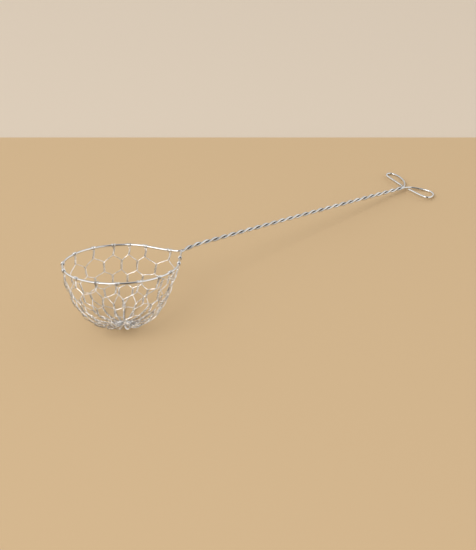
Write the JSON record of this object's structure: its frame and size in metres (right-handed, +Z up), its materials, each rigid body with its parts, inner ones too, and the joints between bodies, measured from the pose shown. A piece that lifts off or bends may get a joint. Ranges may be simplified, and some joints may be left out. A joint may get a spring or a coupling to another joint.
{
  "type": "fondue skimmer",
  "caption": "Small round wire-mesh basket on a long twisted wire handle that ends in two flat loops, for lifting food out of hot broth or oil and letting it drain.",
  "frame": {"origin": "on the table, under the middle of the skimmer's outline as it lies at rest", "axes": "+X along the handle from the basket to the end loops, +Y to the handle's left, +Z up from the table"},
  "size_m": [0.2928, 0.07, 0.049],
  "materials": {
    "frame_wire": "bright drawn steel wire, slightly dulled by handling",
    "mesh_wire": "bright thin steel wire, duller where it is twisted"
  },
  "bodies": {
    "root": {"rim_hoop": "frame_wire", "handle_strand_left": "frame_wire", "handle_strand_right": "frame_wire", "end_loop_left": "frame_wire", "end_loop_right": "frame_wire", "centre_ring": "mesh_wire", "mesh_wire_01": "mesh_wire", "mesh_wire_02": "mesh_wire", "mesh_wire_03": "mesh_wire", "mesh_wire_04": "mesh_wire", "mesh_wire_05": "mesh_wire", "mesh_wire_06": "mesh_wire", "mesh_wire_07": "mesh_wire", "mesh_wire_08": "mesh_wire", "mesh_wire_09": "mesh_wire", "mesh_wire_10": "mesh_wire", "mesh_wire_11": "mesh_wire", "mesh_wire_12": "mesh_wire", "mesh_wire_13": "mesh_wire", "mesh_wire_14": "mesh_wire", "mesh_wire_15": "mesh_wire", "mesh_wire_16": "mesh_wire"}
  },
  "joints": []
}
